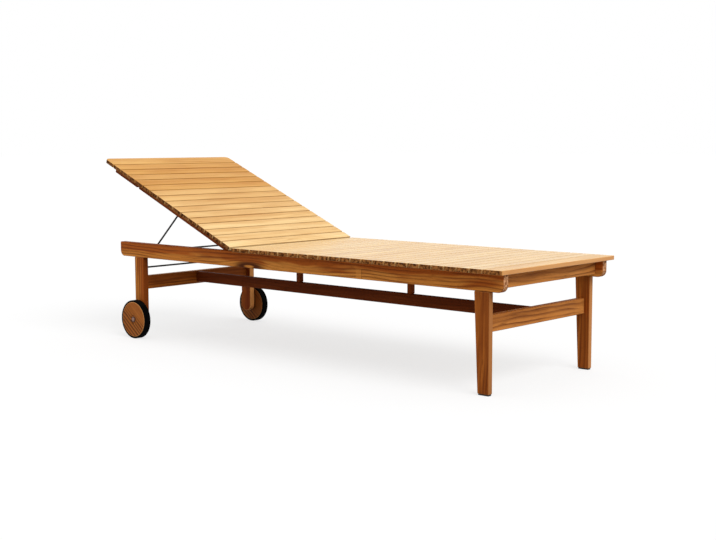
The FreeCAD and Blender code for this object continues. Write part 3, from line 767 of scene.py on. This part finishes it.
discLook = {"grainTurn": math.radians(-38), "edge": 0.002, "recessRadius": 0.017, "recessDepth": 0.002,
            "pith": (0.35, 0.0), "tones": {"left": 0.0, "right": 1.0}}
tyreLook = {"edge": 0.0015}
boltLook = {"shankRadius": 0.006, "headHeight": 0.004, "flangeHeight": 0.0022, "flangeRound": 0.0006,
            "domeRadius": 0.0065, "domeRound": 0.0008, "core": 0.0004, "coreRound": 0.0001}
wheelFit = {"running": 0.00005, "edge": 0.0008}  # room between turning pieces, and their small roundings
axle = np.array(joints["wheel_left_spin"]["pos_m"], float) * (1 - yAxis)


def spanOf(node):
    # Radius and the two distances from the lounger's middle plane.
    low, high = boxOf(node)
    near, far = sorted((abs(low[1]), abs(high[1])))
    return (high[0] - low[0]) / 2, near, far


for side, sign in (("left", 1), ("right", -1)):
    name = side.capitalize()
    body = "wheel_" + side
    small = wheelFit["edge"]

    discRadius, near, far = spanOf("wheel_disc_" + side)
    bushRadius, bushNear, bushFar = spanOf("wheel_bush_" + side)
    bore = bushRadius + wheelFit["running"]
    recess = discLook["recessRadius"]
    floor = far - discLook["recessDepth"]
    edge = discLook["edge"]
    profile = [(bore, near), (discRadius, near), (discRadius, far),
               (recess, far), (recess, floor), (bore, floor)]
    disc = turnedRing(profile, [small, edge, edge, small, small, small], axle, sign, discLook["grainTurn"])
    makePiece("wheelDisc" + name, [disc], wheelTeak, body, ["wheel_disc_" + side],
              [discLook["tones"][side]], pith=discLook["pith"])

    tyreRadius, near, far = spanOf("wheel_tyre_" + side)
    edge = tyreLook["edge"]
    profile = [(discRadius, near), (tyreRadius, near), (tyreRadius, far), (discRadius, far)]
    tyre = turnedRing(profile, [small, edge, edge, small], axle, sign)
    makePiece("wheelTyre" + name, [tyre], tyreRubber, body, ["wheel_tyre_" + side])

    shank = boltLook["shankRadius"]
    bore = shank + wheelFit["running"]
    profile = [(bore, bushNear), (bushRadius, bushNear), (bushRadius, bushFar), (bore, bushFar)]
    bush = turnedRing(profile, [small] * len(profile), axle, sign)
    makePiece("wheelBush" + name, [bush], bushPlastic, body, ["wheel_bush_" + side])

    headRadius, near, far = spanOf("wheel_axle_" + side)
    head = far - boltLook["headHeight"]
    flange = head + boltLook["flangeHeight"]
    core, dome = boltLook["core"], boltLook["domeRadius"]
    profile = [(core, near), (shank, near), (shank, head), (headRadius, head),
               (headRadius, flange), (dome, flange), (dome, far), (core, far)]
    fine, rim = boltLook["coreRound"], boltLook["flangeRound"]
    bolt = turnedRing(profile, [fine, rim, fine, rim, rim, fine, boltLook["domeRound"], fine], axle, sign)
    makePiece("wheelAxle" + name, [bolt], axleSteel, "frame", ["wheel_axle_" + side])
print("wheels done: %.0f mm" % (2 * mm * tyreRadius))

# nodes that keep their own solids
keptNodes = {"prop_rack_left": rackTeak, "prop_rack_right": rackTeak, "hinge_pins": axleSteel,
             "foot_glides": bushPlastic}
for node, material in keptNodes.items():
    mesh = frame["nodes"][node].data
    mesh.materials.clear()
    mesh.materials.append(material)
print("kept nodes: %d" % len(keptNodes))


# floor, light and camera

floorLook = {"half": 60.0, "seen": 1.0, "shadowShare": 0.3, "bounce": (0.32, 0.31, 0.30, 1),
             "paint": (0.95, 0.95, 0.95, 1)}
lightLook = {"towards": (0.70, -0.14, 0.70), "strength": 1.9, "softness": 40.0, "ambient": 0.7, "seen": 1.0}
cameraLook = {"place": (3.02408, -3.23044, 0.77069), "turn": (83.939, 0.1183, 42.0284), "lens": 60.304}


def seenDirectly(tree):
    # One where the eye, a reflection or a see-through piece meets the surface, otherwise nought.
    path = addNode(tree, "ShaderNodeLightPath")
    either = reckoned(tree, "MAXIMUM", path.outputs["Is Camera Ray"], path.outputs["Is Glossy Ray"])
    return reckoned(tree, "MAXIMUM", either, path.outputs["Is Transmission Ray"])


half = floorLook["half"]
floorMesh = bpy.data.meshes.new("studioFloor")
floorCorners = [(-half, -half, 0), (half, -half, 0), (half, half, 0), (-half, half, 0)]
floorMesh.from_pydata(floorCorners, [], [(0, 1, 2, 3)])
studioFloor = bpy.data.objects.new("studioFloor", floorMesh)
bpy.context.scene.collection.objects.link(studioFloor)
floorPaint = bpy.data.materials.new("floorPaint")
floorPaint.use_nodes = True
tree = floorPaint.node_tree
tree.nodes.clear()
seen = seenDirectly(tree)
floorColour = mixed(tree, seen, floorLook["bounce"], floorLook["paint"])
lit = addNode(tree, "ShaderNodeBsdfDiffuse", {"Color": floorColour})
glow = addNode(tree, "ShaderNodeEmission", {"Color": white, "Strength": floorLook["seen"]})
share = times(tree, seen, 1.0 - floorLook["shadowShare"])
paint = addNode(tree, "ShaderNodeMixShader", {0: share, 1: lit.outputs[0], 2: glow.outputs[0]})
addNode(tree, "ShaderNodeOutputMaterial", {"Surface": paint.outputs[0]})
floorMesh.materials.append(floorPaint)

world = bpy.data.worlds.new("studioWorld")
world.use_nodes = True
bpy.context.scene.world = world
tree = world.node_tree
tree.nodes.clear()
strength = between(tree, seenDirectly(tree), (0.0, 1.0), lightLook["ambient"], lightLook["seen"])
sky = addNode(tree, "ShaderNodeBackground", {"Color": white, "Strength": strength})
addNode(tree, "ShaderNodeOutputWorld", {"Surface": sky.outputs[0]})

sun = bpy.data.objects.new("keyLight", bpy.data.lights.new("keyLight", "SUN"))
sun.data.energy = lightLook["strength"]
sun.data.angle = math.radians(lightLook["softness"])
bpy.context.scene.collection.objects.link(sun)
towards = np.array(lightLook["towards"]) / np.linalg.norm(lightLook["towards"])
sun.rotation_euler = (math.acos(towards[2]), 0.0, math.atan2(towards[1], towards[0]) + quarterTurn)

camera = bpy.data.objects.new("photoCamera", bpy.data.cameras.new("photoCamera"))
camera.data.lens = cameraLook["lens"]
camera.location = cameraLook["place"]
camera.rotation_euler = [math.radians(angle) for angle in cameraLook["turn"]]
bpy.context.scene.collection.objects.link(camera)
bpy.context.scene.camera = camera
bpy.context.scene.view_settings.view_transform = "Standard"
print("stage set")
